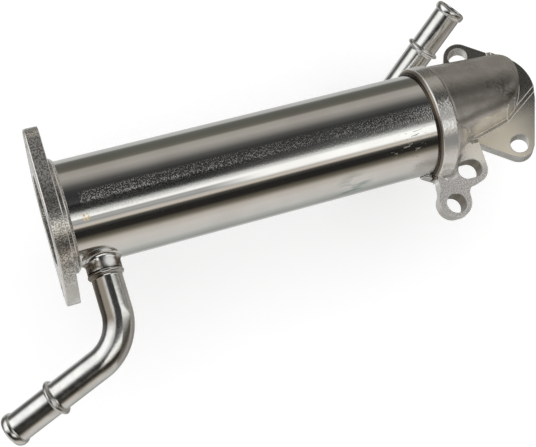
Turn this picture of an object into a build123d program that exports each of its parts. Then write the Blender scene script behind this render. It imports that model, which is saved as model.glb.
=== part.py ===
from build123d import *
import os
from math import asin, cos, pi, radians, sin, sqrt

# Exhaust gas recirculation cooler: a straight tube-bundle heat exchanger with a
# two-bolt inlet flange, a cast outlet elbow and two bent coolant pipes.
# The origin is the centre of the inlet flange's mating face, +X runs along the
# shell from gas inlet to gas outlet, and +Z is square to the bracket ears.

os.makedirs("parts", exist_ok=True)

# Shell tube
shell_diameter = 56.0
shell_wall = 1.5
shell_length = 211.0

# Gaps left for the brazing metal, on the radius
braze_gap = 0.1

# Inlet flange, a two-bolt plate with a short hub round the shell
inlet_plate_thickness = 7.5
inlet_hub_length = 2.1
inlet_hub_wall = 1.9
inlet_hub_taper = 1.4
inlet_lip = 2.5
inlet_lip_reach = 4.1
inlet_disc_diameter = 66.0
inlet_bolt_spacing = 78.0
inlet_bolt_hole = 9.0
inlet_lug_diameter = 19.0
inlet_turn = 38.0
inlet_edge_break = 0.6

# Outlet housing: socket collar
socket_depth = 7.0
collar_wall = 3.1
collar_length = 11.0
collar_mouth_wall = 1.1
collar_mouth_bevel = 2.0
socket_shoulder = 3.6

# Outlet housing: hood of the elbow
hood_start_step = 1.2
hood_fall = 2.9
hood_right = 19.8
hood_top = 23.5
hood_corner = 13.0
hood_draft = 3.0
hood_wall = 4.5
hood_shoulder = 8.0
belly_reach = 15.0
belly_fall = 22.0
belly_bulge = 9.5
belly_shoulder = 8.0
collar_bevel = 1.0
collar_fall = 3.5
hood_length = 60.0
hood_flare = 12.0
hood_step = 1.0
flank_length = 27.0
flank_sweep = 13.0
heel_length = 6.5

# Outlet housing: tilted two-bolt flange under the hood
outlet_tilt = 19.0
outlet_distance = 45.0
outlet_side = 3.0
outlet_rise = 3.2
outlet_plate_thickness = 11.0
outlet_disc_diameter = 51.0
outlet_bolt_spacing = 61.0
outlet_bolt_hole = 10.2
outlet_lug_diameter = 16.0
outlet_turn = 13.5
outlet_gas_bore = 26.0
outlet_pad_height = 3.0
seat_clearance = 16.6
seat_wall_angle = 10.0
seat_wall_turn = 21.0
seat_wall_lean = 30.0
pad_notch = 8.5
seat_relief = 6.0
flat_tolerance = 0.01
outlet_near = 27.0
outlet_margin = 6.0

# Outlet housing: bracket ear with a slot and a round hole
bracket_thickness = 9.5
bracket_slot_length = 14.0
bracket_slot_width = 10.4
bracket_hole = 10.8
slot_distance = 21.0
slot_below_collar = 0.6
slot_lug_diameter = 17.4
hole_distance = 6.4
hole_below_collar = 17.1
hole_lug_diameter = 18.8
hole_lug_offset = 1.4
hole_web_neck = 15.0
slot_web_shift = 1.2
slot_web_width = 20.0
slot_web_root = 17.2
hole_web_shift = 3.4
hole_web_width = 15.5
hole_web_root = 3.2
bracket_fillet = 6.0
bracket_draft = 6.0
milled_start = 15.5
blend_fillet = 5.0
gusset_reach = 4.6
gusset_drop = 3.5
gusset_foot = 1.0

# Coolant pipes, one at each end of the shell
pipe_diameter = 16.0
pipe_wall = 1.0
neck_wall = 0.9
neck_height = 5.8
neck_fillet = 2.4
neck_bead_width = 2.6
neck_bead_height = 1.4
hose_bead_width = 2.6
hose_bead_height = 1.9
hose_grip = 27.0
bead_flats = 5
end_bulge_height = 1.1
end_bulge_width = 4.6
end_lip = 2.0

# Lower coolant pipe, near the inlet flange
inlet_neck_from_flange = 14.3
inlet_pipe_reach = 43.8
inlet_pipe_bend = 23.0
inlet_pipe_tail = 45.2
inlet_pipe_heading_angle = 198.4
inlet_pipe_dip_angle = 24.7

# Upper coolant pipe, near the outlet housing
outlet_neck_from_collar = 14.0
outlet_neck_angle = 282.7
outlet_pipe_reach = 61.5
outlet_pipe_bend = 24.0
outlet_pipe_tail = 82.2
outlet_pipe_heading_angle = 35.8
outlet_pipe_dip_angle = -39.6

# Core: gas tubes between two tube sheets, with baffles that turn the coolant
gas_tube_diameter = 8.0
gas_tube_wall = 0.6
bundle_clearance = 1.7
gas_tube_rings = 2
tube_sheet_thickness = 3.0
tube_sheet_inset = 5.0
tube_stub = 1.2
baffle_count = 3
baffle_thickness = 1.5
baffle_gap = 0.3

# Places that follow from the sizes above
shell_radius = shell_diameter / 2
shell_start = inlet_lip
shell_end = shell_start + shell_length
collar_start = shell_end - socket_depth
hub_face = inlet_plate_thickness + inlet_hub_length
pipe_radius = pipe_diameter / 2
neck_radius = pipe_radius + braze_gap + neck_wall
neck_top = shell_radius + neck_height
socket_diameter = shell_diameter + 2 * braze_gap
core_radius = shell_radius - shell_wall
inlet_hub_radius = socket_diameter / 2 + inlet_hub_wall
inlet_gas_bore = socket_diameter - 2 * inlet_lip_reach
collar_radius = socket_diameter / 2 + collar_wall
collar_mouth_radius = socket_diameter / 2 + collar_mouth_wall
housing_gas_bore = socket_diameter - 2 * socket_shoulder
hood_start_radius = collar_radius - hood_start_step
hood_end_radius = hood_start_radius - hood_fall
belly_bulge_radius = hood_start_radius - belly_shoulder
belly_nose_radius = hood_start_radius - belly_fall
gas_tube_pitch = (core_radius - bundle_clearance - gas_tube_diameter / 2) / gas_tube_rings


def two_bolt_outline(disc_diameter, lug_diameter, spacing):
    """Outline of a two-bolt plate, the bolts on the local Y axis."""
    disc, lug, reach = disc_diameter / 2, lug_diameter / 2, spacing / 2
    lean = asin((disc - lug) / reach)
    near = (disc * cos(lean), disc * sin(lean))
    far = (lug * cos(lean), reach + lug * sin(lean))
    with BuildSketch() as outline:
        with BuildLine():
            ThreePointArc((near[0], -near[1]), (disc, 0), near)
            Line(near, far)
            ThreePointArc(far, (0, reach + lug), (-far[0], far[1]))
            Line((-far[0], far[1]), (-near[0], near[1]))
            ThreePointArc((-near[0], near[1]), (-disc, 0), (-near[0], -near[1]))
            Line((-near[0], -near[1]), (-far[0], -far[1]))
            ThreePointArc((-far[0], -far[1]), (0, -reach - lug), (far[0], -far[1]))
            Line((far[0], -far[1]), (near[0], -near[1]))
        make_face()
    return outline.sketch


# Inlet flange: its local Y axis is turned from +Y towards +Z
inlet_plane = Plane(origin=(0, 0, 0), z_dir=(1, 0, 0),
                    x_dir=(0, sin(radians(inlet_turn)), -cos(radians(inlet_turn))))
with BuildPart() as inlet_flange:
    with BuildSketch(inlet_plane):
        add(two_bolt_outline(inlet_disc_diameter, inlet_lug_diameter, inlet_bolt_spacing))
    extrude(amount=inlet_plate_thickness)
    chamfer(inlet_flange.edges().group_by(Axis.X)[0], inlet_edge_break)
    with BuildSketch(inlet_plane):
        with Locations((0, inlet_bolt_spacing / 2), (0, -inlet_bolt_spacing / 2)):
            Circle(inlet_bolt_hole / 2)
    extrude(amount=inlet_plate_thickness, mode=Mode.SUBTRACT)
    with BuildSketch(Plane.XY):
        with BuildLine():
            Polyline(
                (inlet_plate_thickness / 2, 0),
                (inlet_plate_thickness / 2, inlet_hub_radius),
                (hub_face, inlet_hub_radius),
                (hub_face + inlet_hub_taper, shell_radius + braze_gap + neck_wall / 2),
                (hub_face + inlet_hub_taper, 0),
                close=True,
            )
        make_face()
    revolve(axis=Axis.X)
    with BuildSketch(Plane.YZ):
        Circle(inlet_gas_bore / 2)
    extrude(amount=hub_face + inlet_hub_taper, mode=Mode.SUBTRACT)
    with BuildSketch(Plane.YZ.offset(inlet_lip)):
        Circle(socket_diameter / 2)
    extrude(amount=hub_face + inlet_hub_taper, mode=Mode.SUBTRACT)
inlet_flange.part.label = "inlet_flange"
export_step(inlet_flange.part, "parts/inlet_flange.step")

# Shell tube: a thin drawn tube with two necks pulled out of its wall
inlet_neck_x = inlet_plate_thickness + inlet_neck_from_flange
outlet_neck_x = collar_start - outlet_neck_from_collar
inlet_neck_plane = Plane(origin=(inlet_neck_x, 0, 0), x_dir=(1, 0, 0), z_dir=(0, -1, 0))
outlet_neck_plane = Plane(
    origin=(outlet_neck_x, 0, 0), x_dir=(1, 0, 0),
    z_dir=(0, cos(radians(outlet_neck_angle)), sin(radians(outlet_neck_angle))),
)
with BuildPart() as shell_tube:
    with BuildSketch(Plane.YZ.offset(shell_start)):
        Circle(shell_radius)
    extrude(amount=shell_length)
    for neck_plane in (inlet_neck_plane, outlet_neck_plane):
        with BuildSketch(neck_plane):
            Circle(neck_radius)
        extrude(amount=neck_top)
    seam = [e for e in shell_tube.edges().filter_by(lambda e: e.geom_type != GeomType.CIRCLE)
            if e.length > shell_wall * pipe_diameter]
    fillet([e for e in seam if e.geom_type != GeomType.LINE], neck_fillet)
    with BuildSketch(Plane.YZ.offset(shell_start)):
        Circle(core_radius)
    extrude(amount=shell_length, mode=Mode.SUBTRACT)
    for neck_plane in (inlet_neck_plane, outlet_neck_plane):
        with BuildSketch(neck_plane):
            Circle(pipe_radius + braze_gap)
        extrude(amount=neck_top, mode=Mode.SUBTRACT)
shell_tube.part.label = "shell_tube"
export_step(shell_tube.part, "parts/shell_tube.step")

# Outlet housing: plane of the two bolt seats, tilted so that the gas leaves
# downwards and a little backwards; its local X axis points away from the collar
tilt = radians(outlet_tilt)
outlet_plane = Plane(
    origin=(collar_start + outlet_distance, outlet_side, outlet_rise),
    x_dir=(cos(tilt), 0, sin(tilt)), z_dir=(-sin(tilt), 0, cos(tilt)),
)
mating_plane = outlet_plane.offset(-outlet_plate_thickness)
collar_end = collar_start + collar_length

# Milled seats end in two straight walls, both tangent to one circle
first_wall, second_wall = radians(seat_wall_angle), radians(seat_wall_angle + seat_wall_turn)
middle_wall = (first_wall + second_wall) / 2


def along(start, angle, length):
    """Point at a distance from a start point in a direction."""
    return (start[0] + length * cos(angle), start[1] + length * sin(angle))


def wall_corner(inset):
    """Corner between the two milled walls, moved inwards."""
    reach = (seat_clearance - inset) / cos((second_wall - first_wall) / 2)
    return (reach * sin(middle_wall), -reach * cos(middle_wall))


def hood_plan(inset):
    """Plan of the hood on the seat plane, open wide towards the collar."""
    right, radius, flare = hood_right - inset, hood_corner - inset, radians(hood_flare)
    centre = (right - radius, hood_top - hood_corner)
    top = (centre[0] + radius * sin(flare), centre[1] + radius * cos(flare))
    corner = wall_corner(inset + hood_step)
    neck = along(corner, first_wall, -flank_length)
    heel = along(corner, second_wall, heel_length)
    foot = (neck[0] - flank_sweep, neck[1] - flank_sweep)
    back = along(top, -flare, -outlet_distance - hood_corner)
    with BuildSketch() as plan:
        with BuildLine():
            Polyline(back, (back[0], foot[1]), foot)
            TangentArc(neck, foot, tangent=(-cos(first_wall), -sin(first_wall)))
            Polyline(neck, corner, heel)
            TangentArc((right, centre[1]), heel, tangent=(0, -1))
            RadiusArc((right, centre[1]), top, -radius)
            Line(top, back)
        make_face()
    return plan.sketch


with BuildPart() as hood:
    with BuildSketch(outlet_plane.offset(-outlet_plate_thickness / 2)):
        add(hood_plan(0))
    extrude(amount=shell_diameter, taper=hood_draft)
    with BuildSketch(Plane.XY):
        with BuildLine():
            Polyline(
                (collar_end - collar_bevel, 0),
                (collar_end - collar_bevel, hood_start_radius),
                (collar_end + hood_length, hood_end_radius),
                (collar_end + hood_length, 0),
                close=True,
            )
        make_face()
    revolve(axis=Axis.X, mode=Mode.INTERSECT)
    crown = hood.faces().filter_by(GeomType.CONE).sort_by(SortBy.AREA)[-1]
    rim = [e for e in crown.edges()
           if e.center().X > collar_end and outlet_plane.to_local_coords(e.center()).Z > 0]
    fillet(rim, hood_shoulder)

# Unmilled pad: what is left of the flange's rough face between the two seats
with BuildPart() as pad:
    with BuildSketch(outlet_plane):
        with BuildLine():
            heel = along(wall_corner(0), second_wall, outlet_disc_diameter)
            Polyline(
                along(wall_corner(0), first_wall, -flank_length), wall_corner(0), heel,
                (heel[0], outlet_bolt_spacing), (pad_notch, outlet_bolt_spacing),
                (pad_notch, hood_top), (-outlet_distance, hood_top),
                (-outlet_distance, wall_corner(0)[1] - flank_sweep), close=True,
            )
        make_face()
    extrude(amount=outlet_pad_height, taper=seat_wall_lean)
    with BuildSketch(outlet_plane):
        with Locations(Rotation(0, 0, outlet_turn)):
            add(two_bolt_outline(outlet_disc_diameter, outlet_lug_diameter, outlet_bolt_spacing))
    extrude(amount=outlet_pad_height, mode=Mode.INTERSECT)

# Bracket ears below the collar, their face on the XY plane
slot_centre = (collar_start + slot_distance, -collar_radius - slot_below_collar)
hole_centre = (collar_start + hole_distance, -collar_radius - hole_below_collar)
with BuildSketch() as slot_web:
    with Locations(slot_centre):
        SlotOverall(slot_lug_diameter + bracket_slot_length - bracket_slot_width, slot_lug_diameter)
    with Locations((slot_centre[0] + slot_web_shift, slot_web_root - collar_radius)):
        Rectangle(slot_web_width, shell_wall)
    make_hull()
with BuildSketch() as hole_web:
    with Locations(hole_centre):
        Circle(hole_web_neck / 2)
    with Locations((hole_centre[0] + hole_web_shift, hole_web_root - collar_radius)):
        Rectangle(hole_web_width, shell_wall)
    make_hull()
with BuildSketch() as ears:
    add(slot_web.sketch)
    add(hole_web.sketch)
    with Locations((hole_centre[0], hole_centre[1] + hole_lug_offset)):
        Circle(hole_lug_diameter / 2)
    offset(amount=bracket_fillet, kind=Kind.ARC)
    offset(amount=-bracket_fillet, kind=Kind.ARC)

# Gas passage through the housing, from the socket to the tilted flange
with BuildPart() as passage:
    with BuildSketch(outlet_plane.offset(-hood_wall)):
        add(hood_plan(hood_wall))
    extrude(amount=shell_diameter, taper=hood_draft)
    with BuildSketch(Plane.XY):
        with BuildLine():
            Polyline(
                (collar_end, 0), (collar_end, hood_start_radius - hood_wall),
                (collar_end + hood_length, hood_end_radius - hood_wall),
                (collar_end + hood_length, 0), close=True,
            )
        make_face()
    revolve(axis=Axis.X, mode=Mode.INTERSECT)
    with BuildSketch(Plane.XY):
        with BuildLine():
            Polyline(
                (collar_end + belly_reach - hood_wall, belly_nose_radius - hood_wall / 2),
                (collar_end + belly_reach - hood_wall, 0), (collar_start, 0),
                (collar_start, socket_diameter / 2),
                (collar_start + socket_depth, socket_diameter / 2),
                (collar_start + socket_depth, housing_gas_bore / 2),
                (collar_end, housing_gas_bore / 2),
            )
            ThreePointArc(
                (collar_end, housing_gas_bore / 2),
                (collar_end + belly_bulge - hood_wall, belly_bulge_radius - hood_wall / 2),
                (collar_end + belly_reach - hood_wall, belly_nose_radius - hood_wall / 2),
            )
        make_face()
    revolve(axis=Axis.X)
    with BuildSketch(mating_plane):
        Circle(outlet_gas_bore / 2)
    extrude(amount=outlet_plate_thickness - hood_wall / 2)

# Milling over the ears: a flat on the XY plane, walled by the hood's own plan
with BuildPart() as milling:
    with BuildSketch(outlet_plane.offset(-outlet_distance)):
        with Locations((0, -shell_diameter)):
            Rectangle(2 * shell_diameter, 2 * shell_diameter)
        add(hood_plan(-hood_step), mode=Mode.SUBTRACT)
    extrude(amount=2 * outlet_distance)
    milled_length = slot_distance + slot_web_width / 2 - milled_start
    with BuildSketch(Plane.XY):
        with Locations((collar_start + milled_start, -shell_diameter)):
            Rectangle(milled_length, shell_diameter, align=(Align.MIN, Align.MIN))
    extrude(amount=seat_relief, mode=Mode.INTERSECT)

with BuildPart() as outlet_housing:
    with BuildSketch(Plane.XY):
        with BuildLine():
            Polyline(
                (collar_start, 0),
                (collar_start, collar_mouth_radius),
                (collar_start + collar_mouth_bevel, collar_radius),
                (collar_end - collar_fall, collar_radius),
                (collar_end, hood_start_radius),
            )
            ThreePointArc(
                (collar_end, hood_start_radius),
                (collar_end + belly_bulge, belly_bulge_radius),
                (collar_end + belly_reach, belly_nose_radius),
            )
            Polyline((collar_end + belly_reach, belly_nose_radius), (collar_end + belly_reach, 0), (collar_start, 0))
        make_face()
    revolve(axis=Axis.X)
    with BuildSketch(Plane.XY):
        add(ears.sketch)
    extrude(amount=-bracket_thickness, taper=bracket_draft)
    last_web = collar_start + slot_distance + slot_web_width / 2
    blend = [e for e in outlet_housing.edges()
             if abs(e.center().Z) < flat_tolerance and e.bounding_box().size.Z < flat_tolerance
             and collar_start + collar_mouth_bevel < e.center().X < last_web
             and -collar_radius - gusset_foot < e.center().Y < 0]
    fillet(blend, blend_fillet)
    add(hood.part)
    with BuildSketch(outlet_plane):
        with Locations(Rotation(0, 0, outlet_turn)):
            add(two_bolt_outline(outlet_disc_diameter, outlet_lug_diameter, outlet_bolt_spacing))
    extrude(amount=-outlet_plate_thickness)
    add(pad.part)
    with BuildSketch(mating_plane):
        with Locations((outlet_disc_diameter / 2 + outlet_margin - outlet_near, 0)):
            Rectangle(outlet_disc_diameter + 2 * outlet_margin, 2 * outlet_bolt_spacing)
    extrude(amount=-shell_diameter, mode=Mode.SUBTRACT)
    with BuildSketch(Plane.XY.offset(-gusset_drop)):
        Polygon(
            (collar_start - gusset_reach, -core_radius), (collar_start - gusset_reach, -shell_radius),
            (collar_start + collar_mouth_bevel, -collar_radius - gusset_foot),
            (collar_end - gusset_reach, -collar_radius - gusset_foot),
            (collar_end - gusset_reach, -core_radius), align=None,
        )
    extrude(amount=gusset_drop - bracket_thickness)
    with BuildSketch(Plane.YZ.offset(collar_start + socket_depth)):
        Circle(socket_diameter / 2)
    extrude(amount=-socket_depth - 2 * gusset_reach, mode=Mode.SUBTRACT)
    add(passage.part, mode=Mode.SUBTRACT)
    with BuildSketch(outlet_plane.offset(outlet_pad_height)):
        with Locations(Rotation(0, 0, outlet_turn)):
            with Locations((0, outlet_bolt_spacing / 2), (0, -outlet_bolt_spacing / 2)):
                Circle(outlet_bolt_hole / 2)
    extrude(amount=-outlet_pad_height - outlet_plate_thickness, mode=Mode.SUBTRACT)
    with BuildSketch(outlet_plane):
        with Locations(Rotation(0, 0, outlet_turn)):
            with Locations((0, outlet_bolt_spacing / 2), (0, -outlet_bolt_spacing / 2)):
                Circle(outlet_lug_diameter / 2)
    extrude(amount=seat_relief, mode=Mode.SUBTRACT)
    with BuildSketch(Plane.XY):
        with Locations(slot_centre):
            SlotOverall(bracket_slot_length, bracket_slot_width)
        with Locations(hole_centre):
            Circle(bracket_hole / 2)
    extrude(amount=-bracket_thickness, mode=Mode.SUBTRACT)
    with BuildSketch(Plane.XY):
        with Locations(slot_centre):
            SlotOverall(bracket_slot_length, bracket_slot_width)
    extrude(amount=seat_relief, mode=Mode.SUBTRACT)
    add(milling.part, mode=Mode.SUBTRACT)
outlet_housing.part.label = "outlet_housing"
export_step(outlet_housing.part, "parts/outlet_housing.step")

# Coolant pipes: each starts inside its neck, seats on it with a bead, makes one
# bend and ends in a hose spigot with a stop bead and a rounded end bulge
pipe_start = shell_radius + neck_fillet
seat_station = neck_top + braze_gap + neck_bead_width / 2


def heading(sweep, dip):
    """Unit direction from its angle in the XY plane and its fall below it."""
    return Vector(
        cos(radians(dip)) * cos(radians(sweep)),
        cos(radians(dip)) * sin(radians(sweep)),
        -sin(radians(dip)),
    )


def ring_profile(width, height):
    """Half section of a rolled bead with a crown of short flats, the pipe axis along local X."""
    foot = pipe_radius - pipe_wall / 2
    crown = [
        (cos(pi * step / bead_flats) * width / 2, pipe_radius + sin(pi * step / bead_flats) * height)
        for step in range(bead_flats + 1)
    ]
    with BuildSketch() as profile:
        with BuildLine():
            Polyline((-width / 2, foot), (width / 2, foot), *crown, close=True)
        make_face()
    return profile.sketch


def axial_plane(point, direction):
    """Plane whose local X axis is the given direction."""
    side = direction.cross(Vector(0, 0, 1)).normalized()
    return Plane(origin=point, x_dir=direction, z_dir=side)


inlet_pipe_corner = inlet_neck_plane.origin + inlet_neck_plane.z_dir * (shell_radius + inlet_pipe_reach)
inlet_pipe_heading = heading(inlet_pipe_heading_angle, inlet_pipe_dip_angle)
inlet_spigot = inlet_pipe_corner + inlet_pipe_heading * inlet_pipe_tail
with BuildPart() as coolant_inlet_pipe:
    with BuildLine() as inlet_route:
        FilletPolyline(
            inlet_neck_plane.origin + inlet_neck_plane.z_dir * pipe_start, inlet_pipe_corner,
            inlet_spigot + inlet_pipe_heading * (hose_grip + end_lip), radius=inlet_pipe_bend,
        )
    with BuildSketch(inlet_neck_plane.offset(pipe_start)):
        Circle(pipe_radius)
        Circle(pipe_radius - pipe_wall, mode=Mode.SUBTRACT)
    sweep(path=inlet_route.wires()[0])
    for station, direction, width, height in (
        (inlet_neck_plane.origin + inlet_neck_plane.z_dir * seat_station, inlet_neck_plane.z_dir,
         neck_bead_width, neck_bead_height),
        (inlet_spigot, inlet_pipe_heading, hose_bead_width, hose_bead_height),
        (inlet_spigot + inlet_pipe_heading * hose_grip, inlet_pipe_heading, end_bulge_width, end_bulge_height),
    ):
        with BuildSketch(axial_plane(station, direction)):
            add(ring_profile(width, height))
        revolve(axis=Axis(station, direction))
coolant_inlet_pipe.part.label = "coolant_inlet_pipe"
export_step(coolant_inlet_pipe.part, "parts/coolant_inlet_pipe.step")

outlet_pipe_corner = outlet_neck_plane.origin + outlet_neck_plane.z_dir * (shell_radius + outlet_pipe_reach)
outlet_pipe_heading = heading(outlet_pipe_heading_angle, outlet_pipe_dip_angle)
outlet_spigot = outlet_pipe_corner + outlet_pipe_heading * outlet_pipe_tail
with BuildPart() as coolant_outlet_pipe:
    with BuildLine() as outlet_route:
        FilletPolyline(
            outlet_neck_plane.origin + outlet_neck_plane.z_dir * pipe_start, outlet_pipe_corner,
            outlet_spigot + outlet_pipe_heading * (hose_grip + end_lip), radius=outlet_pipe_bend,
        )
    with BuildSketch(outlet_neck_plane.offset(pipe_start)):
        Circle(pipe_radius)
        Circle(pipe_radius - pipe_wall, mode=Mode.SUBTRACT)
    sweep(path=outlet_route.wires()[0])
    for station, direction, width, height in (
        (outlet_neck_plane.origin + outlet_neck_plane.z_dir * seat_station, outlet_neck_plane.z_dir,
         neck_bead_width, neck_bead_height),
        (outlet_spigot, outlet_pipe_heading, hose_bead_width, hose_bead_height),
        (outlet_spigot + outlet_pipe_heading * hose_grip, outlet_pipe_heading, end_bulge_width, end_bulge_height),
    ):
        with BuildSketch(axial_plane(station, direction)):
            add(ring_profile(width, height))
        revolve(axis=Axis(station, direction))
coolant_outlet_pipe.part.label = "coolant_outlet_pipe"
export_step(coolant_outlet_pipe.part, "parts/coolant_outlet_pipe.step")

# Core: gas tubes on a triangular pitch, in full rings round the middle one
row_pitch = gas_tube_pitch * sqrt(3) / 2
tube_places = [
    ((column + row / 2) * gas_tube_pitch, row * row_pitch)
    for row in range(-gas_tube_rings, gas_tube_rings + 1)
    for column in range(-gas_tube_rings, gas_tube_rings + 1)
    if abs(column + row) <= gas_tube_rings
]
first_sheet = shell_start + tube_sheet_inset
last_sheet = shell_end - tube_sheet_inset - tube_sheet_thickness
tube_radius = gas_tube_diameter / 2

for name, face in (("inlet_tube_sheet", first_sheet), ("outlet_tube_sheet", last_sheet)):
    with BuildPart() as tube_sheet:
        with BuildSketch(Plane.YZ.offset(face)):
            Circle(core_radius - braze_gap)
            with Locations(*tube_places):
                Circle(tube_radius + braze_gap, mode=Mode.SUBTRACT)
        extrude(amount=tube_sheet_thickness)
    tube_sheet.part.label = name
    export_step(tube_sheet.part, f"parts/{name}.step")

# Baffles: each leaves the outer row of tubes free, on alternating sides
baffle_pitch = (last_sheet - first_sheet) / (baffle_count + 1)
baffle_edge = (gas_tube_rings - 1 / 2) * row_pitch
for number in range(1, baffle_count + 1):
    side = 1 if number % 2 else -1
    with BuildPart() as baffle:
        with BuildSketch(Plane.YZ.offset(first_sheet + number * baffle_pitch)):
            Circle(core_radius - baffle_gap)
            with Locations((0, side * (baffle_edge + core_radius))):
                Rectangle(2 * core_radius, 2 * core_radius, mode=Mode.SUBTRACT)
            with Locations(*tube_places):
                Circle(tube_radius + baffle_gap, mode=Mode.SUBTRACT)
        extrude(amount=baffle_thickness)
    baffle.part.label = f"baffle_{number}"
    export_step(baffle.part, f"parts/baffle_{number}.step")

for number, place in enumerate(tube_places, start=1):
    with BuildPart() as gas_tube:
        with BuildSketch(Plane.YZ.offset(first_sheet - tube_stub)):
            with Locations(place):
                Circle(tube_radius)
                Circle(tube_radius - gas_tube_wall, mode=Mode.SUBTRACT)
        extrude(amount=last_sheet - first_sheet + tube_sheet_thickness + 2 * tube_stub)
    gas_tube.part.label = f"gas_tube_{number:02d}"
    export_step(gas_tube.part, f"parts/gas_tube_{number:02d}.step")
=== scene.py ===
import math

import bmesh
import bpy
from mathutils import Matrix, Vector


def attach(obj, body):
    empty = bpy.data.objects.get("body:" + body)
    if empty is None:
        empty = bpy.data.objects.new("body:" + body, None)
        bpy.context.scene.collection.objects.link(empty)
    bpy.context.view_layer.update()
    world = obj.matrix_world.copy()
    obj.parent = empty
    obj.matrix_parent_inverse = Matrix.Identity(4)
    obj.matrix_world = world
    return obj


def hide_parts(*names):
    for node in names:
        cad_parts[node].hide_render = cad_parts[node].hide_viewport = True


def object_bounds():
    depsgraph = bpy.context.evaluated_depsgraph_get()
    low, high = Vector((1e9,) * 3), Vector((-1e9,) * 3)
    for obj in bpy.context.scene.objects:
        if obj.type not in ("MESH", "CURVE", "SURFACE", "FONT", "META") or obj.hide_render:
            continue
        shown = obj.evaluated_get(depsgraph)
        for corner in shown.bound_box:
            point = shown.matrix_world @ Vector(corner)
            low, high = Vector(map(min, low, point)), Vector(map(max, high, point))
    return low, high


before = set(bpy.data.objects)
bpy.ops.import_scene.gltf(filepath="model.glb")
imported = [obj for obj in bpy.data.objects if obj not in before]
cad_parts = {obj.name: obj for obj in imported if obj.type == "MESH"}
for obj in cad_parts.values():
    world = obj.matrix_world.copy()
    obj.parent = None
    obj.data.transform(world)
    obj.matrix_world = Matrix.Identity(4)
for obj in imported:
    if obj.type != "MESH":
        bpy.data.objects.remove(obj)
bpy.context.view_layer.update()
print("frame loaded:", len(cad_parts), "nodes")


class Wire:
    # one output socket, so that shader maths reads as plain expressions
    def __init__(self, tree, socket):
        self.tree, self.socket = tree, socket

    def maths(self, operation, *others):
        return self.tree.node("Math", {"operation": operation}, dict(enumerate((self, *others))))

    def __add__(self, other): return self.maths("ADD", other)
    def __sub__(self, other): return self.maths("SUBTRACT", other)
    def __mul__(self, other): return self.maths("MULTIPLY", other)
    def __truediv__(self, other): return self.maths("DIVIDE", other)
    def __radd__(self, other): return self + other
    def __rmul__(self, other): return self * other
    def __rsub__(self, other): return self.tree.node("Math", {"operation": "SUBTRACT"}, {0: other, 1: self})

    def ramp(self, low, high):
        # 0 at low, 1 at high, smooth between; low may be the larger one
        return self.tree.node("MapRange", {"interpolation_type": "SMOOTHSTEP"}, {
            "Value": self, "From Min": low, "From Max": high,
        })

    def atLeast(self, least):
        # a mask that still keeps this much where it was 0
        return self * (1 - least) + least

    def hypot(self, other):
        return (self * self + other * other).maths("SQRT")


class Tree:
    # the nodes of a material or of the world
    def __init__(self, owner):
        owner.use_nodes = True
        self.tree = owner.node_tree
        self.tree.nodes.clear()

    def node(self, kind, settings=None, sockets=None, output=0):
        # stops, among the settings, are the places and colours of a colour ramp
        made = self.tree.nodes.new("ShaderNode" + kind)
        for name, value in (settings or {}).items():
            if name == "stops":
                band = made.color_ramp
                while len(band.elements) < len(value):
                    band.elements.new(1.0)
                for element, (place, colour) in zip(band.elements, value):
                    element.position = place
                    element.color = (*colour, 1.0)
            else:
                setattr(made, name, value)
        for name, value in (sockets or {}).items():
            if isinstance(value, Wire):
                self.tree.links.new(value.socket, made.inputs[name])
            else:
                made.inputs[name].default_value = value
        return Wire(self, made.outputs[output]) if made.outputs else None

    def split(self, vector):
        return [self.node("SeparateXYZ", sockets={0: vector}, output=part) for part in range(3)]


def srgb(level):
    # a channel as a screen shows it, from 0 to 255
    level = level / 255
    return level / 12.92 if level <= 0.04045 else ((level + 0.055) / 1.055) ** 2.4


def tone(red, green=None, blue=None):
    # one number alone is a grey
    return tuple(srgb(red if channel is None else channel) for channel in (red, green, blue))


# camera: a long lens above and in front of the inlet end
view = {
    "place": (-0.0225, -0.1653, 0.5233),
    "right": (0.9375, -0.3104, 0.1570),
    "up": (0.2545, 0.9197, 0.2990),
    "back": (-0.2375, -0.2401, 0.9410),
    "focal": 1066.47,  # in pixels, for a picture as wide as this
    "pixels": 536,
    "sensor": 36.0,
    "nearest": 0.01,
}
cameraData = bpy.data.cameras.new("camera")
cameraData.sensor_width = view["sensor"]
cameraData.lens = view["focal"] / view["pixels"] * view["sensor"]
cameraData.clip_start = view["nearest"]
camera = bpy.data.objects.new("camera", cameraData)
bpy.context.collection.objects.link(camera)
axes = Matrix((view["right"], view["up"], view["back"])).transposed()
camera.matrix_world = Matrix.Translation(view["place"]) @ axes.to_quaternion().to_matrix().to_4x4()
bpy.context.scene.camera = camera

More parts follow.
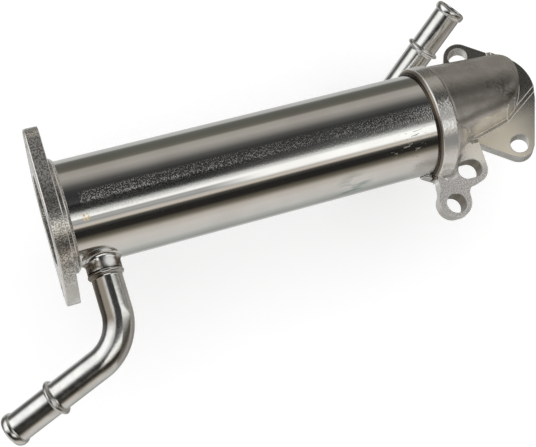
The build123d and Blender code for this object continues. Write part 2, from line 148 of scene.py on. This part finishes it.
# studio: light and dark cards lie along the shell, all round it, with others beyond both its ends
studio = {
    "plainLevel": 0.9,
    # angle about the shell's axis, from +Y towards +Z, and the colour that bright metal shows there
    "along": [
        (-180, 182, 176, 168), (-165, 196, 191, 186), (-141, 190, 188, 184), (-126, 164, 166, 162),
        (-110, 148, 149, 147), (-93, 192, 192, 190), (-80, 240, 240, 239), (-62, 196), (-42, 184, 184, 182),
        (-31, 176, 176, 173), (-24, 106, 106, 102), (-14, 92, 92, 87), (-1, 92, 91, 83), (9, 104, 101, 93),
        (15, 156, 151, 144), (30, 162, 157, 151), (40, 140, 137, 131), (52, 84, 83, 82), (62, 56), (74, 50),
        (92, 64), (102, 90, 90, 88), (110, 150, 150, 148), (117, 255, 255, 252), (129, 255, 254, 250),
        (134, 176, 172, 166), (138, 206, 196, 184), (142, 70, 68, 64), (149, 36, 35, 34), (160, 38, 36, 33),
        (170, 106, 100, 88), (180, 182, 176, 168),
    ],
    # the same beyond the inlet and beyond the outlet
    "start": [
        (-180, 172, 169, 164), (-150, 182, 181, 177), (-117, 220, 219, 217), (-85, 150), (-50, 122),
        (-20, 72, 72, 70), (-2, 96, 95, 93), (8, 205, 204, 203), (22, 252), (74, 255, 255, 253),
        (92, 205, 205, 204), (106, 84), (122, 36, 35, 35), (146, 44, 42, 38), (160, 60, 56, 50),
        (171, 114, 109, 103), (180, 172, 169, 164),
    ],
    "end": [
        (-180, 118, 112, 104), (-155, 165, 160, 156), (-110, 132, 128, 124), (-42, 155, 152, 147),
        (30, 158, 155, 150), (56, 112, 110, 106), (68, 120, 118, 114), (74, 244, 243, 240),
        (88, 236, 234, 230), (100, 170, 168, 164), (125, 96, 94, 88), (155, 70, 66, 56), (180, 118, 112, 104),
    ],
    # shares of the direction along the shell between which one set of cards gives way to another
    "startReach": (-0.28, -0.46),
    "endReach": (0.40, 0.47),
}
world = bpy.data.worlds.new("studio")
bpy.context.scene.world = world
world.cycles.sampling_method = "NONE"
room = Tree(world)
along, across, upward = room.split(room.node("TexCoord", output="Generated"))
angle = upward.maths("ARCTAN2", across) / (2 * math.pi) + 0.5
strips, startCards, endCards = (room.node("ValToRGB", {
    "stops": [(0.5 + degrees / 360, tone(*colour)) for degrees, *colour in studio[name]],
}, {0: angle}) for name in ("along", "start", "end"))
cards = room.node("MixRGB", sockets={0: along.ramp(*studio["startReach"]), 1: strips, 2: startCards})
cards = room.node("MixRGB", sockets={0: along.ramp(*studio["endReach"]), 1: cards, 2: endCards})
cardLight = room.node("Background", sockets={"Color": cards, "Strength": 1.0})
plainLight = room.node("Background", sockets={"Color": (1, 1, 1, 1), "Strength": studio["plainLevel"]})
white = room.node("Background", sockets={"Color": (1, 1, 1, 1), "Strength": 1.0})
glossy = room.node("LightPath", output="Is Glossy Ray")
seen = room.node("LightPath", output="Is Camera Ray")
lit = room.node("MixShader", sockets={0: glossy, 1: plainLight, 2: cardLight})
room.node("OutputWorld", sockets={"Surface": room.node("MixShader", sockets={0: seen, 1: lit, 2: white})})
print("camera and studio ready")


def ridden(name, shape, material, replaced):
    # a finished mesh becomes a piece on the root body, in place of the node that it replaces
    mesh = bpy.data.meshes.new(name)
    shape.to_mesh(mesh)
    shape.free()
    mesh.materials.append(material)
    piece = bpy.data.objects.new(name, mesh)
    bpy.context.collection.objects.link(piece)
    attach(piece, "root")
    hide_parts(replaced)
    return piece


def dress(material, *nodes):
    for node in nodes:
        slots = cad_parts[node].data.materials
        slots.clear()
        slots.append(material)


# what all the steels share: where their patches of colour and of roughness begin and end in the noise
steel = {
    "colourPatches": {"low": 0.35, "high": 0.65, "detail": 4.0},
    "roughPatches": {"low": 0.3, "high": 0.7, "detail": 3.0}, "roughFiner": 3,
}


class Metal(Tree):
    # bare steel: a colour that varies in patches, a roughness and a grain, all sizes in metres
    def __init__(self, name, look):
        self.material = bpy.data.materials.new(name)
        super().__init__(self.material)
        self.point = self.node("TexCoord", output="Object")
        self.x, self.y, self.z = self.split(self.point)
        patches = self.specks(look["patch"], **steel["colourPatches"])
        self.colour = self.mix(patches, look["dark"], look["light"])
        least, most = look["rough"]
        patches = self.specks(look["patch"] / steel["roughFiner"], **steel["roughPatches"])
        self.rough = patches * (most - least) + least
        self.height = self.noise(look["grain"]) * look["depth"]

    def noise(self, size, detail=2.0, stretch=(1, 1, 1)):
        # size is the width of one blob, stretch makes it longer along an axis
        moved = self.node("Mapping", {"vector_type": "POINT"}, {
            "Vector": self.point, "Scale": tuple(1 / part for part in stretch),
        })
        return self.node("TexNoise", sockets={"Vector": moved, "Scale": 0.5 / size, "Detail": detail})

    def specks(self, size, low, high, **looks):
        # noise sharpened into specks between two of its levels
        return self.noise(size, **looks).ramp(low, high)

    def mix(self, share, low, high):
        low, high = (value if isinstance(value, Wire) else (*value, 1.0) for value in (low, high))
        return self.node("MixRGB", sockets={0: share, 1: low, 2: high})

    def layer(self, share, colour):
        # lays a colour over what is there
        self.colour = self.mix(share, self.colour, colour)

    @property
    def radius(self):
        # distance from the shell's axis
        return self.y.hypot(self.z)

    def within(self, *rises):
        # a mask of one rise or more: an axis or the radius, where it is 0 and where it is 1
        ramps = [getattr(self, axis).ramp(start, end) for axis, start, end in rises]
        return math.prod(ramps[1:], start=ramps[0])

    def near(self, place, reach):
        # 1 within a third of the reach round a place, 0 beyond the reach
        gap = self.node("VectorMath", {"operation": "DISTANCE"}, {0: self.point, 1: place}, output="Value")
        return gap.ramp(reach, reach / 3)

    def facing(self, axis, low, high):
        # 1 where a face is square to a direction, from the cosines low and high
        normal = self.node("TexCoord", output="Normal")
        return self.node("VectorMath", {"operation": "DOT_PRODUCT"}, {0: normal, 1: axis},
                         output="Value").ramp(low, high)

    def finish(self, metallic=1.0):
        bump = self.node("Bump", sockets={"Height": self.height, "Strength": 1.0, "Distance": 1.0})
        shader = self.node("BsdfPrincipled", sockets={
            "Base Color": self.colour, "Roughness": self.rough, "Normal": bump, "Metallic": metallic,
        })
        self.node("OutputMaterial", sockets={"Surface": shader})
        return self.material


# shell: drawn tube, bright, with rubbed grain along its top, a few scratches and stains
onTop = ("z", 0.018, 0.022)
drawn = {
    "dark": tone(246, 245, 243), "light": tone(253, 253, 251), "patch": 0.012,
    "rough": (0.055, 0.085), "grain": 0.0006, "depth": 0.0000012,
    # rubbed band, fainter towards the outlet
    "rub": (("y", 0.0019, 0.0005), ("y", -0.0066, -0.0038), ("x", 0.0165, 0.0185), onTop),
    "rubGrain": {"size": 0.00036, "detail": 1.0}, "rubDepth": 0.00002,
    "rubSpecks": {"size": 0.00036, "low": 0.44, "high": 0.62, "detail": 1.0}, "rubRough": 0.36,
    "rubFade": (0.215, 0.015), "rubLeast": 0.3,
    # fine combed grain in front of it
    "comb": (("y", -0.0098, -0.0078), ("y", -0.0040, -0.0060), onTop),
    "combGrain": {"size": 0.0003, "detail": 1.0, "stretch": (1, 2, 4)}, "combDepth": 0.00005,
    # duller stretch towards the inlet
    "dull": (("y", -0.0020, -0.0050), ("y", -0.0135, -0.0095), ("x", 0.150, 0.030), onTop),
    "dullSpecks": {"size": 0.00036, "low": 0.4, "high": 0.6, "detail": 1.0}, "dullLeast": 0.4,
    "dullRough": 0.20,
    # darker streaks along the tube towards its inlet end, each with its grey
    "streaks": (
        ((("y", -0.0035, -0.0050), ("y", -0.0098, -0.0072), ("x", 0.165, 0.060), onTop), tone(134)),
        ((("y", -0.0112, -0.0120), ("y", -0.0143, -0.0135), ("x", 0.115, 0.075), onTop), tone(160)),
    ),
    # marks, each with its place and its reach
    "stain": ((0.0183, -0.0112, 0.0258), 0.0030), "stainColour": tone(222, 196, 150),
    "stainSpecks": {"size": 0.0005, "low": 0.48, "high": 0.56},
    "smudge": ((0.158, -0.0268, 0.008), 0.013), "smudgeColour": tone(196, 206, 204),
    "smudgeSpecks": {"size": 0.002, "low": 0.45, "high": 0.6, "stretch": (4, 1, 1)},
    "scratches": ((0.190, -0.0172, 0.0222), 0.016), "scratchRough": 0.4,
    "scratchSpecks": {"size": 0.0004, "low": 0.64, "high": 0.70, "detail": 1.0, "stretch": (5, 1, 1.5)},
    # neck of the inlet pipe, browned by its brazing, with one painted highlight: a less metallic, unbrowned
    # spot
    "braze": (("y", -0.0285, -0.0300),), "brazeColour": tone(128, 116, 102), "brazeRough": 0.20,
    "brazeGrain": {"size": 0.0011, "stretch": (2, 1, 2)}, "brazeDepth": 0.00010,
    "brazeSpecks": {"size": 0.0016, "low": 0.3, "high": 0.6, "detail": 3.0}, "brazeLeast": 0.4,
    "glint": ((0.0248, -0.0308, 0.0086), 0.0046), "glintRough": 0.1, "glintMetallic": 0.35,
    # softer reflections beside the collar's foot
    "soft": ((0.2035, -0.0275, 0.0050), 0.0180), "softRough": 0.34,
}
shell = Metal("drawnSteel", drawn)
rub, comb, dull, braze = (shell.within(*drawn[name]) for name in ("rub", "comb", "dull", "braze"))
# painted highlight on the neck: no browning there, and a less metallic finish
glint = shell.near(*drawn["glint"])
shell.height += shell.noise(**drawn["rubGrain"]) * drawn["rubDepth"] * rub \
    + shell.noise(**drawn["combGrain"]) * drawn["combDepth"] * comb \
    + shell.noise(**drawn["brazeGrain"]) * drawn["brazeDepth"] * braze
rubbed = rub * shell.specks(**drawn["rubSpecks"]) * shell.x.ramp(*drawn["rubFade"]).atLeast(drawn["rubLeast"])
dulled = dull * shell.specks(**drawn["dullSpecks"]).atLeast(drawn["dullLeast"])
scratched = shell.near(*drawn["scratches"]) * shell.specks(**drawn["scratchSpecks"])
for mask, rougher in (
    (rubbed, "rubRough"), (dulled, "dullRough"), (braze, "brazeRough"), (glint, "glintRough"),
    (scratched, "scratchRough"), (shell.near(*drawn["soft"]), "softRough"),
):
    shell.rough += mask * drawn[rougher]
for streak, grey in drawn["streaks"]:
    shell.layer(shell.within(*streak), grey)
shell.layer(shell.near(*drawn["stain"]) * shell.specks(**drawn["stainSpecks"]), drawn["stainColour"])
shell.layer(shell.near(*drawn["smudge"]) * shell.specks(**drawn["smudgeSpecks"]), drawn["smudgeColour"])
browning = braze * (1 - glint) * shell.specks(**drawn["brazeSpecks"]).atLeast(drawn["brazeLeast"])
shell.layer(browning, drawn["brazeColour"])
dress(shell.finish(1 - glint * (1 - drawn["glintMetallic"])), "shell_tube")
print("shell dressed")

# mouth of the collar: it keeps the brown of its brazing, with painted shade darkest next to the shell
collarMouth = {
    "around": (("x", 0.2061, 0.2063), ("x", 0.2083, 0.2078), ("radius", 0.0322, 0.0318)),
    "colour": tone(146, 135, 122), "face": (0.2069, 0.2072), "gapShadeColour": tone(70, 60, 51),
}


# lays the brazing's brown and the painted shade of the collar's mouth
def brazedAndShaded(metal):
    around = metal.within(*collarMouth["around"])
    metal.layer(around, metal.mix(metal.x.ramp(*collarMouth["face"]), collarMouth["gapShadeColour"],
                                  collarMouth["colour"]))
    return around


# housing: cast with a fine grey grain, lighter and smoother where it was milled
cast = {
    "dark": tone(200, 196, 189), "light": tone(222, 219, 213), "patch": 0.004,
    "rough": (0.27, 0.33), "grain": 0.0005, "depth": 0.000012, "metallic": 0.86,
    # milled seats of the tilted flange, tan at their front, with painted light there from a paler colour and
    # a less metallic finish
    "seat": ((-0.3256, 0.0, 0.9455), 0.992, 0.998),
    "milledColour": tone(226, 221, 211), "milledRough": 0.22, "grainLost": 0.7,
    "tan": (("y", 0.004, -0.016), ("x", 0.284, 0.250)),
    "tanLitColour": tone(250, 240, 220), "tanLitMetallic": 0.32,
    # hood, with painted shade on its crown and a painted highlight on its flank, which keeps the paler colour
    "hood": (("x", 0.2165, 0.2190), ("z", 0.0, 0.014)),
    "hoodColour": tone(158, 152, 144), "hoodLeast": 0.55,
    "hoodSpecks": {"size": 0.0007, "low": 0.42, "high": 0.6},
    "hoodPatches": {"size": 0.012, "low": 0.4, "high": 0.6},
    "crown": (("y", 0.012, 0.000), ("y", -0.0085, -0.0040)),
    "crownColour": tone(96, 92, 87), "crownLeast": 0.7,
    "litFlank": (("y", -0.0075, -0.0120), ("z", 0.004, 0.010)),
    # turned ring of the collar, with a painted highlight on its front from a less metallic finish
    "ring": (("x", 0.2190, 0.2165), ("radius", 0.036, 0.034)), "ringAndLitFootColour": tone(242, 240, 236),
    "ringRough": 0.17, "ringGrain": {"size": 0.0007, "detail": 1.0}, "ringDepth": 0.00006,
    "ringLitFront": (("y", 0.000, -0.007), ("z", 0.0, 0.006)), "ringLitMetallic": 0.74,
    # milled face of the ears, the walls of their holes darkened with painted shade, and the web and foot
    # beside them paler with painted highlights
    "ear": ((0.0, 0.0, 1.0), 0.992, 0.998), "earStart": (-0.010, -0.012), "earMetallic": 0.52,
    "earColours": (tone(194, 190, 186), tone(232, 229, 226)),
    "earSpecks": {"size": 0.0004, "low": 0.4, "high": 0.6, "detail": 1.0},
    "holes": ((0.2129, -0.0483, 0.0058), (0.2275, -0.0318, 0.0075)), "holeEdge": 0.0002,
    "holeShadeColour": tone(142, 134, 122),
    "litWeb": ((0.2345, -0.0225, 0.0), 0.013), "webHighlightColour": tone(252, 246, 234),
    "foot": ((0.2155, -0.0315, 0.0015), 0.0075), "highlightMetallicDrop": -0.22,
}
housing = Metal("castSteel", cast)
milled = housing.facing(*cast["seat"])
# tan tint and painted light on the front of the seats
tan = milled * housing.within(*cast["tan"])
earFace = housing.facing(*cast["ear"]) * housing.y.ramp(*cast["earStart"])
hood = housing.within(*cast["hood"]) * (1 - milled) * (1 - earFace)
# painted shade along the crown; painted highlight on the flank, spared the darker hood colour
crown = hood * housing.within(*cast["crown"])
litFlank = hood * housing.within(*cast["litFlank"])
specks = housing.specks(**cast["hoodSpecks"]) * housing.specks(**cast["hoodPatches"])
# painted highlights on the ear's web and at the collar's foot, paler and less metallic
litWeb = earFace * housing.near(*cast["litWeb"])
foot = housing.near(*cast["foot"]) * (1 - earFace)
housing.layer(specks.atLeast(cast["hoodLeast"]) * hood * (1 - litFlank), cast["hoodColour"])
housing.layer(specks.atLeast(cast["crownLeast"]) * crown, cast["crownColour"])
housing.layer(milled, cast["milledColour"])
housing.layer(tan, cast["tanLitColour"])
housing.layer(earFace, housing.mix(housing.specks(**cast["earSpecks"]), *cast["earColours"]))
housing.layer(litWeb, cast["webHighlightColour"])
# painted shade on the walls of the ear holes
for x, y, reach in cast["holes"]:
    gap = (housing.x - x).hypot(housing.y - y)
    housing.layer(gap.ramp(reach, reach - cast["holeEdge"]) * (1 - earFace), cast["holeShadeColour"])
mouth = brazedAndShaded(housing)
ring = housing.within(*cast["ring"]) * (1 - mouth)
housing.layer(ring, cast["ringAndLitFootColour"])
housing.layer(foot, cast["ringAndLitFootColour"])
housing.rough = housing.rough * (1 - ring) * (1 - milled) \
    + ring * cast["ringRough"] + milled * cast["milledRough"]
housing.height = housing.height * (1 - milled * cast["grainLost"]) \
    + housing.noise(**cast["ringGrain"]) * ring * cast["ringDepth"]
# less metallic on the seat fronts, the ring's front, the web and the foot: painted light
castSteel = housing.finish(
    cast["metallic"] + earFace * (cast["earMetallic"] - cast["metallic"])
    + (milled + ring) * (1 - cast["metallic"]) + tan * (cast["tanLitMetallic"] - 1)
    + ring * housing.within(*cast["ringLitFront"]) * (cast["ringLitMetallic"] - 1) + (litWeb + foot) * cast["highlightMetallicDrop"])

# inlet flange: cast plate that sparkles; its lower lug is smoother, with less sparkle, and has painted light
# from a less metallic finish, as its top has too
plate = {
    "dark": tone(226, 223, 217), "light": tone(246, 244, 240), "patch": 0.004,
    "rough": (0.18, 0.27), "grain": 0.0005, "depth": 0.00010, "metallic": 0.91,
    "sparkle": {"size": 0.0004, "low": 0.38, "high": 0.62, "detail": 1.0},
    "sparkleColour": tone(164, 159, 151),
    "litLowLug": (-0.031, -0.038), "lowLugLitMetallic": 0.6, "sparkleLost": 0.75, "grainLost": 0.8,
    "litTop": (-0.005, 0.015), "litTopMetallic": 0.78,
}
flange = Metal("plateSteel", plate)
# painted light: less metallic at the lower lug and at the top
litLowLug, litTop = flange.y.ramp(*plate["litLowLug"]), flange.y.ramp(*plate["litTop"])
flange.layer(flange.specks(**plate["sparkle"]) * (1 - litLowLug * plate["sparkleLost"]), plate["sparkleColour"])
flange.height *= 1 - litLowLug * plate["grainLost"]
plateSteel = flange.finish(plate["metallic"] + litLowLug * (plate["lowLugLitMetallic"] - plate["metallic"])
                           + litTop * (plate["litTopMetallic"] - plate["metallic"]))

# edges of both castings: smoother, with a painted highlight from a paler colour and a less metallic finish,
# but not at the collar's fall and round the hood's foot
edgeHighlight = {
    "dark": tone(238, 234, 228), "light": tone(252, 250, 246), "patch": 0.003,
    "rough": (0.12, 0.18), "grain": 0.0006, "depth": 0.00001, "metallic": 0.72,
    "fall": (("x", 0.2150, 0.2158), ("x", 0.2195, 0.2185), ("radius", 0.026, 0.028), ("z", -0.002, 0.0)),
    "hoodFoot": ((0.2230, -0.0150, 0.0215), 0.0100), "fallColour": tone(172, 166, 158), "fallRough": 0.2,
}
highlightedEdge = Metal("edgeHighlightSteel", edgeHighlight)
brazedAndShaded(highlightedEdge)
fall = highlightedEdge.within(*edgeHighlight["fall"]).maths("MAXIMUM", highlightedEdge.near(*edgeHighlight["hoodFoot"]))
# the painted highlight is withheld at the fall and the hood's foot, in a darker grey
highlightedEdge.layer(fall, edgeHighlight["fallColour"])
highlightedEdge.rough += fall * edgeHighlight["fallRough"]
edgeHighlightSteel = highlightedEdge.finish(edgeHighlight["metallic"])
print("casting steels ready")

# core, hidden in the shell: plain tubes, tube sheets and baffles
core = {
    "dark": tone(176, 172, 166), "light": tone(196, 193, 188), "patch": 0.008,
    "rough": (0.30, 0.40), "grain": 0.0006, "depth": 0.000006,
}
coreNodes = [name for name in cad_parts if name.split("_")[0] in ("baffle", "gas") or "sheet" in name]
dress(Metal("coreSteel", core).finish(), *coreNodes)
print("core dressed:", len(coreNodes), "nodes")

# broken edges of the castings
brokenEdge = {
    "width": 0.00035, "segments": 3, "angle": math.radians(17),
    "merge": 0.000004, "flat": math.radians(0.4),  # points as near as this and faces as flat as this join
    # the collar's fall to the hood is shorter than the solid's: where it starts, and how far that moves
    "fall": 0.2140, "fallReach": 0.0001, "fallRadius": 0.031, "sharper": 0.0026,
}


def softened(node):
    # a copy of a CAD solid, merged into whole faces, its sharp edges marked
    shape = bmesh.new()
    shape.from_mesh(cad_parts[node].data)
    bmesh.ops.remove_doubles(shape, verts=shape.verts, dist=brokenEdge["merge"])
    bmesh.ops.dissolve_limit(shape, angle_limit=brokenEdge["flat"], use_dissolve_boundaries=False,
                             verts=shape.verts, edges=shape.edges)
    for vertex in shape.verts:
        gap = abs(vertex.co.x - brokenEdge["fall"])
        if gap < brokenEdge["fallReach"] and vertex.co.yz.length > brokenEdge["fallRadius"]:
            vertex.co.x += brokenEdge["sharper"]
    for face in shape.faces:
        face.smooth = True
    for side in shape.edges:
        side.smooth = side.calc_face_angle(0.0) < brokenEdge["angle"]
    return shape


for node, name, material, slot in (
    ("outlet_housing", "housing_casting", castSteel, "casting"),
    ("inlet_flange", "flange_casting", plateSteel, "flange_plate"),
):
    piece = ridden(name, softened(node), material, node)
    piece.data.materials.append(edgeHighlightSteel)
    bevel = piece.modifiers.new("edges", "BEVEL")
    bevel.width = brokenEdge["width"]
    bevel.segments = brokenEdge["segments"]
    bevel.limit_method = "ANGLE"
    bevel.angle_limit = brokenEdge["angle"]
    bevel.use_clamp_overlap = False
    bevel.material = 1
    bevel.harden_normals = True
    print(name, "softened")

# coolant pipes: bright bent tubes with rolled beads
bright = {
    "dark": tone(236, 236, 234), "light": tone(252, 252, 250), "patch": 0.005,
    "rough": (0.13, 0.20), "grain": 0.0007, "depth": 0.00003,
    # greyer side of the inlet pipe's first run, towards the flange
    "tint": (("y", -0.066, -0.058), ("y", -0.020, -0.030), ("x", 0.0208, 0.0180), ("x", 0.0, 0.006)),
    "tintColour": tone(140, 131, 120),
}
pipe = {
    "radius": 0.008, "wall": 0.001, "steps": 64, "pitch": 0.0015, "beadSteps": 16, "merge": 1e-7,
    # each bead: its width and height
    "seat": (0.0026, 0.0014), "stop": (0.0026, 0.0019), "bulge": (0.0046, 0.0011),
    # the seat's distance from the foot, the bulge's from the mouth, and the hose's grip between
    # the stop and the bulge
    "seatPlace": 0.0048, "past": 0.002, "grip": 0.027,
    "lip": 0.0004, "follow": 0.8,  # the bore widens with the end bulge by this share
}
# route of each: its foot in the neck, the corner of its two runs, the second run's turn and dip in
# degrees, how far that run goes before the stop, and the radius of the bend
pipes = {
    "coolant_inlet_pipe": {
        "foot": Vector((0.0218, -0.0304, 0.0)), "corner": Vector((0.0218, -0.0718, 0.0)),
        "heading": (198.4, 24.7), "tail": 0.0452, "bend": 0.023,
    },
    "coolant_outlet_pipe": {
        "foot": Vector((0.1925, 0.006684, -0.029656)), "corner": Vector((0.1925, 0.019676, -0.087311)),
        "heading": (35.8, -39.6), "tail": 0.0822, "bend": 0.024,
    },
}
tube = Metal("pipeSteel", bright)
tube.layer(tube.within(*bright["tint"]), bright["tintColour"])
pipeSteel = tube.finish()


def beadsOf(length):
    # centre, width and height of each bead on a pipe
    return ((pipe["seatPlace"], *pipe["seat"]), (length - pipe["past"] - pipe["grip"], *pipe["stop"]),
            (length - pipe["past"], *pipe["bulge"]))


def profileOf(length):
    # closed outline of a straight pipe's wall, as distances along it and radii
    runs = round(length / pipe["pitch"])
    places = {length * step / runs for step in range(runs + 1)}
    for centre, width, height in beadsOf(length):
        places |= {centre + width / 2 * math.sin(math.pi * (step / pipe["beadSteps"] - 0.5))
                   for step in range(pipe["beadSteps"] + 1)}
    outside = []
    for place in sorted(places):
        if place <= length - pipe["lip"] or place == length:
            radius = pipe["radius"]
            for centre, width, height in beadsOf(length):
                offset = 2 * (place - centre) / width
                if abs(offset) < 1:
                    radius += height * math.sqrt(1 - offset * offset)
            outside.append((place, radius))
    inner = pipe["radius"] - pipe["wall"]
    rolled = length - pipe["past"] - pipe["bulge"][0] / 2
    inside = [(place, inner + (radius - pipe["radius"]) * pipe["follow"] * (place > rolled))
              for place, radius in outside]
    lips = [(length, outside[-1][1] - pipe["lip"]), (length, inside[-1][1] + pipe["lip"])]
    return outside[:-1] + lips + inside[-2::-1]


def bent(shape, foot, corner, end, bend):
    # moves a straight pipe on the X axis onto its route: straight, one bend, straight
    first, last = (corner - foot).normalized(), (end - corner).normalized()
    turn = first.angle(last)
    axis = first.cross(last).normalized()
    before = (corner - foot).length - bend * math.tan(turn / 2)
    centre = foot + first * before + axis.cross(first) * bend
    for vertex in shape.verts:
        station, side, up = vertex.co
        twist = Matrix.Rotation(min(max((station - before) / bend, 0.0), turn), 3, axis)
        heading, inward = twist @ first, twist @ axis.cross(first)
        spine = centre - inward * bend
        if station < before:
            spine = foot + first * station
        elif station > before + bend * turn:
            spine += heading * (station - before - bend * turn)
        vertex.co = spine + inward * side + axis * up


for node, route in pipes.items():
    foot, corner, bend = route["foot"], route["corner"], route["bend"]
    turn, dip = (math.radians(value) for value in route["heading"])
    heading = Vector((math.cos(dip) * math.cos(turn), math.cos(dip) * math.sin(turn), -math.sin(dip)))
    end = corner + heading * (route["tail"] + pipe["grip"] + pipe["past"])
    arc = (corner - foot).angle(heading)
    length = (corner - foot).length + (end - corner).length - 2 * bend * math.tan(arc / 2) + bend * arc
    shape = bmesh.new()
    outline = [shape.verts.new((place, radius, 0)) for place, radius in profileOf(length)]
    loop = [shape.edges.new(pair) for pair in zip(outline, outline[1:] + outline[:1])]
    bmesh.ops.spin(shape, geom=outline + loop, cent=(0, 0, 0), axis=(1, 0, 0), angle=2 * math.pi,
                   steps=pipe["steps"], use_merge=True)
    bmesh.ops.remove_doubles(shape, verts=shape.verts, dist=pipe["merge"])
    bent(shape, foot, corner, end, bend)
    bmesh.ops.recalc_face_normals(shape, faces=shape.faces)
    for face in shape.faces:
        face.smooth = True
    ridden(node.replace("coolant", "drawn"), shape, pipeSteel, node)
    print(node, "bent,", round(length * 1000), "mm long")

# floor: pale paper just below the lowest bend, which the metal doesn't reflect
paper = {"gap": 0.002, "size": 4.0, "colour": (0.9, 0.9, 0.9, 1), "glow": 0.3}
shape = bmesh.new()
bmesh.ops.create_grid(shape, x_segments=1, y_segments=1, size=paper["size"],
                      matrix=Matrix.Translation((0, 0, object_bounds()[0][2] - paper["gap"])))
mesh = bpy.data.meshes.new("floor")
shape.to_mesh(mesh)
shape.free()
floor = bpy.data.objects.new("floor", mesh)
bpy.context.collection.objects.link(floor)
paperMaterial = bpy.data.materials.new("paper")
paperTree = Tree(paperMaterial)
matt = paperTree.node("BsdfDiffuse", sockets={"Color": paper["colour"]})
glow = paperTree.node("Emission", sockets={"Color": (1, 1, 1, 1), "Strength": paper["glow"]})
surface = paperTree.node("MixShader", sockets={
    0: paperTree.node("LightPath", output="Is Glossy Ray"),
    1: paperTree.node("AddShader", sockets={0: matt, 1: glow}),
    2: paperTree.node("BsdfTransparent"),
})
paperTree.node("OutputMaterial", sockets={"Surface": surface})
mesh.materials.append(paperMaterial)
print("floor laid")

bpy.context.scene.view_settings.view_transform = "Standard"
